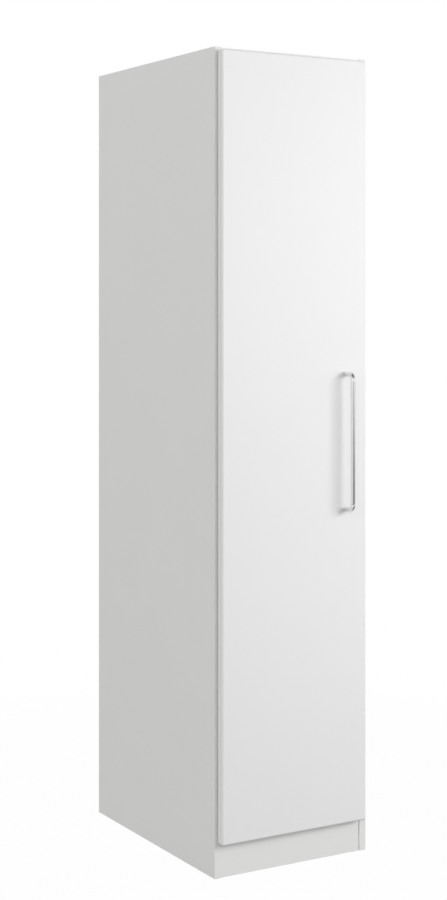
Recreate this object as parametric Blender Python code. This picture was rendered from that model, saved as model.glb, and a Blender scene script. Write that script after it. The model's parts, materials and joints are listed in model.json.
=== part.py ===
"""Tall, narrow single-door wardrobe: a flat-pack board carcass with a hinged slab door and a bar handle.

Units are metres, +Z is up, the door faces -Y and the origin lies on the floor, under the middle of the
whole outline. Every separate piece of the real wardrobe is one object with its own name.
"""
import math

import bmesh
import bpy
from mathutils import Matrix, Vector

# Carcass
HEIGHT = 1.900
WIDTH = 0.420
DEPTH = 0.595
BOARD = 0.018
TOP_DROP = 0.002
PLINTH_HEIGHT = 0.080
PLINTH_SETBACK = 0.0025
FIT = 0.0003

# Back panel in its grooves
BACK_THICKNESS = 0.003
BACK_INSET = 0.010
GROOVE_DEPTH = 0.006

# Hat shelf, its pins and the hanging rail
SHELF_SPACE = 0.278
SHELF_SETBACK = 0.020
SHELF_PLAY = 0.0006
PIN_PEG_RADIUS = 0.0025
PIN_PEG_LENGTH = 0.009
PIN_REACH = 0.011
PIN_COLLAR_RADIUS = 0.0045
PIN_COLLAR_THICKNESS = 0.0012
PIN_FROM_EDGE = 0.055
RAIL_RADIUS = 0.0125
RAIL_WALL = 0.0012
RAIL_DROP = 0.055
SOCKET_WALL = 0.0028
SOCKET_DEPTH = 0.013
SOCKET_FLANGE_RADIUS = 0.021
SOCKET_FLANGE_THICKNESS = 0.003
SOCKET_PEG_RADIUS = 0.0025
SOCKET_PEG_LENGTH = 0.010
SOCKET_PEG_SPACING = 0.032

# Door
DOOR_THICKNESS = 0.022
DOOR_GAP = 0.003
DOOR_LEFT_INSET = 0.006
DOOR_RIGHT_INSET = 0.016
DOOR_TOP_REVEAL = 0.008
DOOR_BOTTOM = 0.0805
DOOR_CORNER = 0.0055
DOOR_FRONT_ARRIS = 0.005
DOOR_BACK_ARRIS = 0.003
BUMPER_RADIUS = 0.004
BUMPER_FROM_SIDE = 0.030

# Handle
HANDLE_RADIUS = 0.006
HANDLE_CENTRES = 0.320
HANDLE_STANDOFF = 0.034
HANDLE_BEND = 0.016
HANDLE_FROM_EDGE = 0.0605
HANDLE_SCREW_RADIUS = 0.002
HANDLE_SCREW_BITE = 0.009

# Hinges
HINGE_FROM_END = 0.100
PIN_EDGE = 0.0066
PIN_DEPTH = 0.0080
PIN_RADIUS = 0.00125
PIN_LENGTH = 0.017
RUN_CLEARANCE = 0.0001
EYE_RADIUS = 0.0022
CUP_TAB = 0.003
CUP_RADIUS = 0.0175
CUP_FLOOR = 0.0011
CUP_POCKET_HALF = 0.0045
CUP_WALL = 0.002
CUP_FLANGE = 0.001
CUP_PEG_SPREAD = 0.045
CUP_PEG_OFFSET = 0.0095
CUP_PEG_RADIUS = 0.004
CUP_PEG_LENGTH = 0.010
CUP_WING_RADIUS = 0.0065
ARM_STRIP = 0.0025
ARM_BEND = 0.002
ARM_RISE = 0.0105
ARM_LENGTH = 0.060
ARM_CHANNEL_START = 0.010
ARM_BODY_HALF = 0.0072
ARM_SIDE_WALL = 0.0015
PLATE_THICKNESS = 0.0018
PLATE_SETBACK = 0.037
PLATE_SCREW_SPACING = 0.032
PLATE_WING_RADIUS = 0.007
PLATE_BOSS_START = 0.016

# Screws, cams and dowels
SCREW_RADIUS = 0.0025
SCREW_HEAD_RADIUS = 0.0048
SCREW_HEAD_HEIGHT = 0.0024
PLATE_SCREW_BITE = 0.012
RECESS_WIDTH = 0.0012
RECESS_DEPTH = 0.0012
CAM_RADIUS = 0.0075
CAM_HEIGHT = 0.0125
CAM_BACKSET = 0.024
CAM_FROM_EDGE = 0.070
BOLT_RADIUS = 0.003
BOLT_THREAD_RADIUS = 0.0025
BOLT_THREAD_LENGTH = 0.011
BOLT_NECK_RADIUS = 0.002
BOLT_NECK_LENGTH = 0.006
BOLT_HEAD_LENGTH = 0.003
DOWEL_RADIUS = 0.004
DOWEL_IN_SIDE = 0.011
DOWEL_IN_PLINTH = 0.018

# Wall bracket
BRACKET_LEG = 0.030
BRACKET_WIDTH = 0.040
BRACKET_THICKNESS = 0.002
BRACKET_HOLE_RADIUS = 0.003

# Places worked out from the sizes above
LEFT = -WIDTH / 2
RIGHT = WIDTH / 2
INNER_LEFT = LEFT + BOARD
INNER_RIGHT = RIGHT - BOARD
REAR = (DEPTH + DOOR_GAP + DOOR_THICKNESS + HANDLE_STANDOFF + HANDLE_RADIUS) / 2
FRONT = REAR - DEPTH
BACK_REAR = REAR - BACK_INSET
BACK_FRONT = BACK_REAR - BACK_THICKNESS
PLINTH_FRONT = FRONT + PLINTH_SETBACK
PLINTH_DOWEL_Y = PLINTH_FRONT + BOARD / 2
BASE_TOP = PLINTH_HEIGHT + BOARD
TOP_UPPER = HEIGHT - TOP_DROP
CEILING = TOP_UPPER - BOARD
SHELF_TOP = CEILING - SHELF_SPACE
SHELF_UNDER = SHELF_TOP - BOARD
RAIL_Z = SHELF_UNDER - RAIL_DROP
RAIL_Y = (FRONT + BACK_FRONT) / 2
DOOR_LEFT = LEFT + DOOR_LEFT_INSET
DOOR_RIGHT = RIGHT - DOOR_RIGHT_INSET
DOOR_TOP = HEIGHT - DOOR_TOP_REVEAL
DOOR_BACK = FRONT - DOOR_GAP
DOOR_FRONT = DOOR_BACK - DOOR_THICKNESS
DOOR_MIDDLE = (DOOR_BOTTOM + DOOR_TOP) / 2
HANDLE_X = DOOR_RIGHT - HANDLE_FROM_EDGE
PIN_X = DOOR_LEFT + PIN_EDGE
PIN_Y = DOOR_BACK - PIN_DEPTH
CUP_X = DOOR_LEFT + CUP_TAB + CUP_RADIUS
CUP_DEPTH = PIN_DEPTH + EYE_RADIUS + FIT + CUP_FLOOR
CUP_PEG_X = CUP_X + CUP_PEG_OFFSET
ARM_INSIDE = INNER_LEFT + ARM_RISE
ARM_OUTSIDE = ARM_INSIDE + ARM_STRIP
ARM_END = FRONT + ARM_LENGTH
ARM_NECK_HALF = CUP_POCKET_HALF - FIT
PLATE_TOP = INNER_LEFT + FIT + PLATE_THICKNESS
PLATE_Y = FRONT + PLATE_SETBACK
HINGE_HEIGHTS = {
    "upper": DOOR_TOP - HINGE_FROM_END,
    "middle": DOOR_MIDDLE,
    "lower": DOOR_BOTTOM + HINGE_FROM_END,
}
HANDLE_ENDS = {
    "upper": DOOR_MIDDLE + HANDLE_CENTRES / 2,
    "lower": DOOR_MIDDLE - HANDLE_CENTRES / 2,
}
SIDES = {"left": -1, "right": 1}
ROWS = {"front": FRONT + CAM_FROM_EDGE, "rear": BACK_FRONT - CAM_FROM_EDGE}
SHELF_ROWS = {
    "front": FRONT + SHELF_SETBACK + PIN_FROM_EDGE,
    "rear": BACK_FRONT - PIN_FROM_EDGE,
}

SEGMENTS = 24
CUP_SEGMENTS = 32
SMALL_SEGMENTS = 12
SMOOTH_ANGLE = math.radians(35)


def clear_scene():
    """Take every object out of the scene."""
    for thing in list(bpy.data.objects):
        bpy.data.objects.remove(thing, do_unlink=True)


def material(name, colour, roughness, metallic=0.0):
    """A plain Principled finish."""
    finish = bpy.data.materials.new(name)
    finish.use_nodes = True
    shader = finish.node_tree.nodes["Principled BSDF"]
    shader.inputs["Base Color"].default_value = (*colour, 1.0)
    shader.inputs["Roughness"].default_value = roughness
    shader.inputs["Metallic"].default_value = metallic
    return finish


def mesh_from(bm):
    """Close a bmesh into a mesh whose faces point outwards."""
    bmesh.ops.recalc_face_normals(bm, faces=bm.faces[:])
    mesh = bpy.data.meshes.new("shape")
    bm.to_mesh(mesh)
    bm.free()
    return mesh


def box(low, high):
    """A block between two opposite corners."""
    bm = bmesh.new()
    bmesh.ops.create_cube(bm, size=1.0)
    size = Vector(high) - Vector(low)
    middle = (Vector(high) + Vector(low)) / 2
    place = Matrix.Translation(middle) @ Matrix.Diagonal((*size, 1.0))
    bmesh.ops.transform(bm, matrix=place, verts=bm.verts[:])
    return mesh_from(bm)


def turned(profile, start, axis, segments=SEGMENTS):
    """A turned piece: (distance along the axis, radius) pairs carried round an axis through start."""
    bm = bmesh.new()
    turn = Vector((0, 0, 1)).rotation_difference(Vector(axis)).to_matrix().to_4x4()
    place = Matrix.Translation(Vector(start)) @ turn
    rings = []
    for distance, radius in profile:
        ring = []
        for step in range(segments):
            angle = 2 * math.pi * step / segments
            point = Vector((radius * math.cos(angle), radius * math.sin(angle), distance))
            ring.append(bm.verts.new(place @ point))
        rings.append(ring)
    for lower, upper in zip(rings, rings[1:]):
        for step in range(segments):
            after = (step + 1) % segments
            bm.faces.new((lower[step], lower[after], upper[after], upper[step]))
    bm.faces.new(reversed(rings[0]))
    bm.faces.new(rings[-1])
    return mesh_from(bm)


def rod(start, end, radius, segments=SEGMENTS):
    """A round bar between two points."""
    reach = Vector(end) - Vector(start)
    return turned(((0, radius), (reach.length, radius)), start, reach.normalized(), segments)


def prism(outline, low, high):
    """A plan outline of (x, y) points, extruded in height from low to high."""
    bm = bmesh.new()
    floor = bm.faces.new([bm.verts.new((x, y, low)) for x, y in outline])
    raised = bmesh.ops.extrude_face_region(bm, geom=[floor])
    tops = [item for item in raised["geom"] if isinstance(item, bmesh.types.BMVert)]
    bmesh.ops.translate(bm, verts=tops, vec=(0, 0, high - low))
    return mesh_from(bm)


def arc(centre, radius, start, end, steps=4):
    """Points along a circular arc, with angles in degrees."""
    points = []
    for step in range(steps + 1):
        angle = math.radians(start + (end - start) * step / steps)
        points.append((centre[0] + radius * math.cos(angle), centre[1] + radius * math.sin(angle)))
    return points


def solid(adds, cuts=()):
    """One body: the shapes in adds joined, less the shapes in cuts."""
    body = bpy.data.objects.new("body", adds[0])
    bpy.context.collection.objects.link(body)
    groups = []
    for operation, shapes in (("UNION", adds[1:]), ("DIFFERENCE", cuts)):
        if not shapes:
            continue
        group = bpy.data.collections.new("tools")
        bpy.context.scene.collection.children.link(group)
        groups.append(group)
        for shape in shapes:
            group.objects.link(bpy.data.objects.new("tool", shape))
        step = body.modifiers.new(operation.lower(), "BOOLEAN")
        step.operation = operation
        step.solver = "EXACT"
        step.operand_type = "COLLECTION"
        step.collection = group
    bpy.context.view_layer.update()
    mesh = bpy.data.meshes.new_from_object(body.evaluated_get(bpy.context.evaluated_depsgraph_get()))
    bpy.data.objects.remove(body, do_unlink=True)
    for group in groups:
        for tool in list(group.objects):
            bpy.data.objects.remove(tool, do_unlink=True)
        bpy.data.collections.remove(group)
    return mesh


def piece(name, mesh, finish, place=(0, 0, 0), carrier=None, smooth=False):
    """A finished object, hung on a carrier where it moves."""
    mesh.materials.clear()
    mesh.materials.append(finish)
    if smooth:
        mesh.shade_smooth()
        mesh.set_sharp_from_angle(angle=SMOOTH_ANGLE)
    item = bpy.data.objects.new(name, mesh)
    bpy.context.collection.objects.link(item)
    item.location = place
    if carrier is not None:
        item.parent = carrier
        item.matrix_parent_inverse = carrier.matrix_world.inverted()
    return item


def cross_recess(centre, axis, radius):
    """The two crossed slots in a screw or cam head whose outer face has this centre and outward axis."""
    centre = Vector(centre)
    axis = Vector(axis)
    across = [Vector(row) for row in ((1, 0, 0), (0, 1, 0), (0, 0, 1)) if abs(Vector(row).dot(axis)) < 0.5]
    slots = []
    for along, thin in (across, across[::-1]):
        reach = along * radius * 0.6 + thin * (RECESS_WIDTH / 2)
        inner = centre - axis * RECESS_DEPTH
        outer = centre + axis * RECESS_DEPTH
        corners = [inner - reach, inner + reach, outer - reach, outer + reach]
        low = [min(corner[i] for corner in corners) for i in range(3)]
        high = [max(corner[i] for corner in corners) for i in range(3)]
        slots.append(box(low, high))
    return slots


def screw(seat, axis, shank, radius=SCREW_RADIUS):
    """A pan-head screw whose head stands on seat, along axis, and whose shank runs back from it."""
    seat = Vector(seat)
    axis = Vector(axis)
    crown = SCREW_HEAD_RADIUS * 0.7
    profile = (
        (-shank, radius * 0.5),
        (-shank + radius, radius),
        (FIT, radius),
        (FIT, SCREW_HEAD_RADIUS),
        (SCREW_HEAD_HEIGHT * 0.6, SCREW_HEAD_RADIUS),
        (SCREW_HEAD_HEIGHT, crown),
    )
    top = seat + axis * SCREW_HEAD_HEIGHT
    return solid([turned(profile, seat, axis, SMALL_SEGMENTS)], cross_recess(top, axis, crown))


def inner_face(sign):
    """Height of the inner face of the left (-1) or right (+1) side panel along X."""
    return sign * (WIDTH / 2 - BOARD)


def panel_middle(panel):
    """Mid height of the top or base panel, and the way its cams face."""
    if panel == "top":
        return TOP_UPPER - BOARD / 2, 1
    return PLINTH_HEIGHT + BOARD / 2, -1


def cam_places():
    """Every cam joint: its name, panel, side sign and place along the depth."""
    for panel in ("top", "base"):
        for side, sign in SIDES.items():
            for row, y in ROWS.items():
                yield f"{panel}_{side}_{row}", panel, sign, y


def cam_head(panel, sign, y):
    """Centre of a cam's outer face and the way that it faces."""
    middle, out = panel_middle(panel)
    return Vector((inner_face(sign) - sign * CAM_BACKSET, y, middle + out * (BOARD / 2 - FIT))), out


def side_cuts(sign):
    """Groove, bolt holes, pin holes, peg holes and dowel hole in one side panel's inner face."""
    face = inner_face(sign)
    cuts = []
    groove_end = face + sign * GROOVE_DEPTH
    cuts.append(box(
        (min(face - sign * FIT, groove_end), BACK_FRONT - FIT, -FIT),
        (max(face - sign * FIT, groove_end), BACK_REAR + FIT, CEILING + GROOVE_DEPTH),
    ))

    def drill(y, z, radius, depth):
        cuts.append(rod((face - sign * FIT, y, z), (face + sign * depth, y, z), radius, SMALL_SEGMENTS))

    for _, panel, cam_sign, y in cam_places():
        if cam_sign == sign:
            drill(y, panel_middle(panel)[0], BOLT_THREAD_RADIUS + FIT, BOLT_THREAD_LENGTH + FIT)
    for y in SHELF_ROWS.values():
        drill(y, SHELF_UNDER - FIT - PIN_PEG_RADIUS, PIN_PEG_RADIUS + FIT, PIN_PEG_LENGTH + FIT)
    for step in (-1, 1):
        y = RAIL_Y + step * SOCKET_PEG_SPACING / 2
        drill(y, RAIL_Z, SOCKET_PEG_RADIUS + FIT, SOCKET_PEG_LENGTH + FIT)
    drill(PLINTH_DOWEL_Y, PLINTH_HEIGHT / 2, DOWEL_RADIUS + FIT, DOWEL_IN_SIDE + FIT)
    if sign < 0:
        for height in HINGE_HEIGHTS.values():
            for step in (-1, 1):
                z = height + step * PLATE_SCREW_SPACING / 2
                drill(PLATE_Y, z, SCREW_RADIUS + FIT, PLATE_SCREW_BITE + FIT)
    return cuts


def side_panel(sign):
    """A full-height side board."""
    outer = sign * WIDTH / 2
    face = inner_face(sign)
    board = box((min(outer, face), FRONT, 0), (max(outer, face), REAR, HEIGHT))
    return solid([board], side_cuts(sign))


def cam_cuts(panel):
    """Cam bores and bolt bores of the top or base panel."""
    cuts = []
    for _, cam_panel, sign, y in cam_places():
        if cam_panel == panel:
            centre, out = cam_head(panel, sign, y)
            mouth = centre + Vector((0, 0, out * 3 * FIT))
            bottom = centre - Vector((0, 0, out * (CAM_HEIGHT + FIT)))
            cuts.append(rod(bottom, mouth, CAM_RADIUS + FIT))
            z = panel_middle(panel)[0]
            mouth = (inner_face(sign) + sign * FIT, y, z)
            cuts.append(rod(mouth, (centre.x, y, z), BOLT_RADIUS + 2 * FIT, SMALL_SEGMENTS))
    return cuts


def cross_board(low_y, high_y, low_z, high_z, play=FIT):
    """A board that spans between the two sides."""
    return box((INNER_LEFT + play, low_y, low_z), (INNER_RIGHT - play, high_y, high_z))


def cam_lock(panel, sign, y):
    """A round cam: a drum, open towards its bolt, with a crossed driver recess in its outer face."""
    centre, out = cam_head(panel, sign, y)
    axis = Vector((0, 0, out))
    drum = rod(centre - axis * CAM_HEIGHT, centre, CAM_RADIUS)
    z = panel_middle(panel)[0]
    half = BOLT_RADIUS + 2 * FIT
    near = centre.x + sign * (CAM_RADIUS + FIT)
    far = centre.x - sign * (BOLT_HEAD_LENGTH + FIT)
    low_z = min(z + out * half, z - out * BOARD / 2)
    high_z = max(z + out * half, z - out * BOARD / 2)
    mouth = box((min(near, far), y - half, low_z), (max(near, far), y + half, high_z))
    return solid([drum], [mouth, *cross_recess(centre, axis, CAM_RADIUS)])


def cam_bolt(panel, sign, y):
    """The headed bolt that screws into the side and hooks into the cam."""
    z = panel_middle(panel)[0]
    start = (inner_face(sign) + sign * BOLT_THREAD_LENGTH, y, z)
    reach = BOLT_THREAD_LENGTH + CAM_BACKSET
    neck = reach - BOLT_NECK_LENGTH
    head = reach - BOLT_HEAD_LENGTH / 2
    profile = (
        (0, BOLT_THREAD_RADIUS),
        (BOLT_THREAD_LENGTH + FIT, BOLT_THREAD_RADIUS),
        (BOLT_THREAD_LENGTH + FIT, BOLT_RADIUS),
        (neck, BOLT_RADIUS),
        (neck, BOLT_NECK_RADIUS),
        (head, BOLT_NECK_RADIUS),
        (head, BOLT_RADIUS),
        (head + BOLT_HEAD_LENGTH, BOLT_RADIUS),
    )
    return turned(profile, start, (-sign, 0, 0), SMALL_SEGMENTS)


def shelf_pin(sign, y):
    """A peg with a collar; the shelf lies on the part that stands out of the side."""
    z = SHELF_UNDER - FIT - PIN_PEG_RADIUS
    start = (inner_face(sign) + sign * PIN_PEG_LENGTH, y, z)
    collar = PIN_PEG_LENGTH + FIT
    profile = (
        (0, PIN_PEG_RADIUS),
        (collar, PIN_PEG_RADIUS),
        (collar, PIN_COLLAR_RADIUS),
        (collar + PIN_COLLAR_THICKNESS, PIN_COLLAR_RADIUS),
        (collar + PIN_COLLAR_THICKNESS, PIN_PEG_RADIUS),
        (PIN_PEG_LENGTH + PIN_REACH, PIN_PEG_RADIUS),
    )
    return turned(profile, start, (-sign, 0, 0), SMALL_SEGMENTS)


def shelf_board():
    """The hat shelf, notched at each end for the collars of its pins."""
    low = FRONT + SHELF_SETBACK
    board = cross_board(low, BACK_FRONT - FIT, SHELF_UNDER, SHELF_TOP, SHELF_PLAY)
    cuts = []
    for sign in SIDES.values():
        for y in SHELF_ROWS.values():
            z = SHELF_UNDER - FIT - PIN_PEG_RADIUS
            inner = inner_face(sign) - sign * (PIN_COLLAR_THICKNESS + 3 * FIT)
            outer = inner_face(sign) + sign * FIT
            cuts.append(rod((inner, y, z), (outer, y, z), PIN_COLLAR_RADIUS + FIT, SMALL_SEGMENTS))
    return solid([board], cuts)


def rail_socket(sign):
    """A cup that holds the rail's end, with a flange and two pegs that press into the side."""
    face = inner_face(sign) - sign * FIT
    inward = Vector((-sign, 0, 0))
    base = Vector((face, RAIL_Y, RAIL_Z))
    reach = SOCKET_FLANGE_THICKNESS + SOCKET_DEPTH
    flange = rod(base, base + inward * SOCKET_FLANGE_THICKNESS, SOCKET_FLANGE_RADIUS)
    collar = rod(base + inward * FIT, base + inward * reach, RAIL_RADIUS + FIT + SOCKET_WALL)
    bore_start = base + inward * SOCKET_FLANGE_THICKNESS
    bore = rod(bore_start, base + inward * (reach + FIT), RAIL_RADIUS + FIT)
    pegs = []
    for step in (-1, 1):
        foot = base + Vector((0, step * SOCKET_PEG_SPACING / 2, 0))
        tip = foot - inward * (SOCKET_PEG_LENGTH - FIT)
        pegs.append(rod(foot + inward * FIT, tip, SOCKET_PEG_RADIUS, SMALL_SEGMENTS))
    return solid([flange, collar, *pegs], [bore])


def hanging_rail():
    """A chromed steel tube between the two sockets."""
    end = WIDTH / 2 - BOARD - SOCKET_FLANGE_THICKNESS - 2 * FIT
    tube = rod((-end, RAIL_Y, RAIL_Z), (end, RAIL_Y, RAIL_Z), RAIL_RADIUS)
    bore = rod((-end - FIT, RAIL_Y, RAIL_Z), (end + FIT, RAIL_Y, RAIL_Z), RAIL_RADIUS - RAIL_WALL)
    return solid([tube], [bore])


def wall_bracket():
    """An angle under the top panel, one leg against the back, with a hole in each leg."""
    top = CEILING - FIT
    rear = BACK_FRONT - FIT
    half = BRACKET_WIDTH / 2
    flat = box((-half, rear - BRACKET_LEG, top - BRACKET_THICKNESS), (half, rear, top))
    upright = box((-half, rear - BRACKET_THICKNESS, top - BRACKET_LEG), (half, rear, top))
    hole_y = rear - BRACKET_LEG * 0.6
    hole_z = top - BRACKET_LEG * 0.6
    over = BRACKET_THICKNESS * 2
    holes = [
        rod((0, hole_y, top - over), (0, hole_y, top + over), BRACKET_HOLE_RADIUS, SMALL_SEGMENTS),
        rod((0, rear - over, hole_z), (0, rear + over, hole_z), BRACKET_HOLE_RADIUS, SMALL_SEGMENTS),
    ]
    return solid([flat, upright], holes)


def door_slab():
    """The door blank, its four corners and its front and back edges rounded over."""
    bm = bmesh.new()
    bm.from_mesh(box((DOOR_LEFT, DOOR_FRONT, DOOR_BOTTOM), (DOOR_RIGHT, DOOR_BACK, DOOR_TOP)))
    corners = [edge for edge in bm.edges if abs(edge.verts[0].co.y - edge.verts[1].co.y) > DOOR_THICKNESS / 2]
    bmesh.ops.bevel(bm, geom=corners, offset=DOOR_CORNER, segments=6, profile=0.5, affect="EDGES")

    def rim(y):
        return [edge for edge in bm.edges if all(abs(vert.co.y - y) < FIT / 10 for vert in edge.verts)]

    for y, radius, segments in ((DOOR_FRONT, DOOR_FRONT_ARRIS, 4), (DOOR_BACK, DOOR_BACK_ARRIS, 3)):
        bmesh.ops.bevel(bm, geom=rim(y), offset=radius, segments=segments, profile=0.5, affect="EDGES")
    return mesh_from(bm)


def door_panel():
    """The door with its hinge bores and the two holes for the handle screws."""
    cuts = []
    for height in HINGE_HEIGHTS.values():
        cup_floor = (CUP_X, DOOR_BACK - CUP_DEPTH - FIT, height)
        cuts.append(rod(cup_floor, (CUP_X, DOOR_BACK + FIT, height), CUP_RADIUS + FIT, CUP_SEGMENTS))
        for step in (-1, 1):
            z = height + step * CUP_PEG_SPREAD / 2
            foot = (CUP_PEG_X, DOOR_BACK - CUP_PEG_LENGTH - FIT, z)
            mouth = (CUP_PEG_X, DOOR_BACK + FIT, z)
            cuts.append(rod(foot, mouth, CUP_PEG_RADIUS + FIT, SMALL_SEGMENTS))
    for z in HANDLE_ENDS.values():
        through = ((HANDLE_X, DOOR_FRONT - FIT, z), (HANDLE_X, DOOR_BACK + FIT, z))
        cuts.append(rod(*through, HANDLE_SCREW_RADIUS + FIT, SMALL_SEGMENTS))
    return solid([door_slab()], cuts)


def hinge_cup():
    """The cup: a drum with a pocket for the arm, a winged flange and two pegs, about height zero."""
    flange_low = DOOR_BACK + FIT
    flange_high = flange_low + CUP_FLANGE
    drum = rod((CUP_X, DOOR_BACK - CUP_DEPTH, 0), (CUP_X, flange_high, 0), CUP_RADIUS, CUP_SEGMENTS)
    half = CUP_PEG_SPREAD / 2
    wing_left = CUP_PEG_X - CUP_WING_RADIUS
    wing_right = CUP_PEG_X + CUP_WING_RADIUS
    wing = box((wing_left, flange_low, -half), (wing_right, flange_high, half))
    adds = [drum, wing]
    for z in (-half, half):
        adds.append(rod((CUP_PEG_X, flange_low, z), (CUP_PEG_X, flange_high, z), CUP_WING_RADIUS))
        foot = (CUP_PEG_X, DOOR_BACK - CUP_PEG_LENGTH, z)
        adds.append(rod(foot, (CUP_PEG_X, flange_low + CUP_FLANGE / 2, z), CUP_PEG_RADIUS, SMALL_SEGMENTS))
    floor = PIN_Y - EYE_RADIUS - FIT
    pocket_left = PIN_X - EYE_RADIUS - FIT
    pocket_right = CUP_X + CUP_RADIUS - CUP_WALL
    pocket = box((pocket_left, floor, -CUP_POCKET_HALF), (pocket_right, flange_high + FIT, CUP_POCKET_HALF))
    reach = PIN_LENGTH / 2 + FIT
    bore_ends = ((PIN_X, PIN_Y, -reach), (PIN_X, PIN_Y, reach))
    bore = rod(*bore_ends, PIN_RADIUS + RUN_CLEARANCE / 2, SMALL_SEGMENTS)
    return solid(adds, [pocket, bore])


def hinge_arm():
    """The arm: a strip that hooks round the pin, rises out of the cup and runs back as a channel."""
    top = PIN_Y + ARM_STRIP / 4
    bottom = top - ARM_STRIP
    bend = ARM_BEND + ARM_STRIP
    inner_bend = arc((ARM_INSIDE - ARM_BEND, top + ARM_BEND), ARM_BEND, -90, 0)
    outer_bend = arc((ARM_OUTSIDE - bend, bottom + bend), bend, 0, -90)
    back_end = [(ARM_INSIDE, ARM_END), (ARM_OUTSIDE, ARM_END)]
    outline = [(PIN_X, top), *inner_bend, *back_end, *outer_bend, (PIN_X, bottom)]
    strip = prism(outline, -ARM_NECK_HALF, ARM_NECK_HALF)
    eye = rod((PIN_X, PIN_Y, -ARM_NECK_HALF), (PIN_X, PIN_Y, ARM_NECK_HALF), EYE_RADIUS)
    start = FRONT + ARM_CHANNEL_START
    web = box((ARM_INSIDE, start, -ARM_BODY_HALF), (ARM_OUTSIDE, ARM_END, ARM_BODY_HALF))
    adds = [strip, eye, web]
    for sign in (-1, 1):
        edges = sorted((sign * (ARM_BODY_HALF - ARM_SIDE_WALL), sign * ARM_BODY_HALF))
        adds.append(box((PLATE_TOP + FIT, start, edges[0]), (ARM_OUTSIDE, ARM_END, edges[1])))
    reach = ARM_NECK_HALF + FIT
    bore = rod((PIN_X, PIN_Y, -reach), (PIN_X, PIN_Y, reach), PIN_RADIUS + RUN_CLEARANCE, SMALL_SEGMENTS)
    hole_ends = ((ARM_INSIDE - FIT, PLATE_Y, 0), (ARM_OUTSIDE + FIT, PLATE_Y, 0))
    hole = rod(*hole_ends, SCREW_RADIUS + FIT, SMALL_SEGMENTS)
    return solid(adds, [bore, hole])


def hinge_plate():
    """The mounting plate: two screwed wings and the boss that the arm's channel sits over."""
    base = INNER_LEFT + FIT
    half = PLATE_SCREW_SPACING / 2
    wing = box((base, PLATE_Y - PLATE_WING_RADIUS, -half), (PLATE_TOP, PLATE_Y + PLATE_WING_RADIUS, half))
    adds = [wing]
    cuts = []
    for z in (-half, half):
        adds.append(rod((base, PLATE_Y, z), (PLATE_TOP, PLATE_Y, z), PLATE_WING_RADIUS))
        through = ((base - FIT, PLATE_Y, z), (PLATE_TOP + FIT, PLATE_Y, z))
        cuts.append(rod(*through, SCREW_RADIUS + FIT, SMALL_SEGMENTS))
    boss_half = ARM_BODY_HALF - ARM_SIDE_WALL - FIT
    start = FRONT + PLATE_BOSS_START
    adds.append(box((base + FIT, start, -boss_half), (ARM_INSIDE - FIT, ARM_END - 2 * FIT, boss_half)))
    cuts.append(rod((PLATE_TOP, PLATE_Y, 0), (ARM_INSIDE, PLATE_Y, 0), SCREW_RADIUS + FIT, SMALL_SEGMENTS))
    return solid(adds, cuts)


def bar_handle():
    """A round bar bent into a D: two legs, two bends and the grip, bored for its screws."""
    foot = DOOR_FRONT - FIT
    grip = DOOR_FRONT - HANDLE_STANDOFF
    upper = HANDLE_ENDS["upper"]
    lower = HANDLE_ENDS["lower"]
    steps = 6
    path = [(foot, upper, 0.0)]
    for step in range(steps + 1):
        turn = math.pi / 2 * step / steps
        y = grip + HANDLE_BEND * (1 - math.sin(turn))
        z = upper - HANDLE_BEND * (1 - math.cos(turn))
        path.append((y, z, turn))
    for step in range(steps + 1):
        turn = math.pi / 2 * (1 + step / steps)
        y = grip + HANDLE_BEND * (1 - math.sin(turn))
        z = lower + HANDLE_BEND * (1 + math.cos(turn))
        path.append((y, z, turn))
    path.append((foot, lower, math.pi))
    bm = bmesh.new()
    rings = []
    for y, z, turn in path:
        outward = Vector((0, -math.sin(turn), math.cos(turn)))
        ring = []
        for step in range(SEGMENTS):
            angle = 2 * math.pi * step / SEGMENTS
            spot = Vector((HANDLE_X, y, z)) + Vector((HANDLE_RADIUS * math.cos(angle), 0, 0))
            ring.append(bm.verts.new(spot + outward * HANDLE_RADIUS * math.sin(angle)))
        rings.append(ring)
    for first, second in zip(rings, rings[1:]):
        for step in range(SEGMENTS):
            after = (step + 1) % SEGMENTS
            bm.faces.new((first[step], first[after], second[after], second[step]))
    bm.faces.new(rings[0])
    bm.faces.new(rings[-1])
    bores = []
    for z in (upper, lower):
        end = foot - HANDLE_SCREW_BITE - FIT
        bore_ends = ((HANDLE_X, foot + FIT, z), (HANDLE_X, end, z))
        bores.append(rod(*bore_ends, HANDLE_SCREW_RADIUS + FIT, SMALL_SEGMENTS))
    return solid([mesh_from(bm)], bores)


def bumper(z):
    """A soft dome stuck on a front edge, just short of the closed door."""
    start = (INNER_RIGHT - BUMPER_FROM_SIDE, FRONT - FIT, z)
    height = DOOR_GAP - 2 * FIT
    profile = (
        (0, BUMPER_RADIUS),
        (height * 0.4, BUMPER_RADIUS),
        (height * 0.8, BUMPER_RADIUS * 0.75),
        (height, BUMPER_RADIUS * 0.4),
    )
    return turned(profile, start, (0, -1, 0), SMALL_SEGMENTS)


clear_scene()

WHITE_BOARD = material("white_board", (0.80, 0.80, 0.79), 0.45)
WHITE_DOOR = material("white_door", (0.84, 0.84, 0.84), 0.30)
WHITE_HARDBOARD = material("white_hardboard", (0.78, 0.78, 0.77), 0.55)
CHROME = material("chrome", (0.80, 0.81, 0.82), 0.08, 1.0)
NICKEL = material("nickel_plate", (0.66, 0.65, 0.62), 0.28, 1.0)
ZINC = material("zinc_plate", (0.60, 0.61, 0.62), 0.40, 1.0)
BEECH = material("beech_dowel", (0.62, 0.44, 0.27), 0.60)
CLEAR_RUBBER = material("clear_rubber", (0.75, 0.76, 0.76), 0.35)

# Carcass boards
for side, side_sign in SIDES.items():
    piece(f"side_panel_{side}", side_panel(side_sign), WHITE_BOARD)

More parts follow.
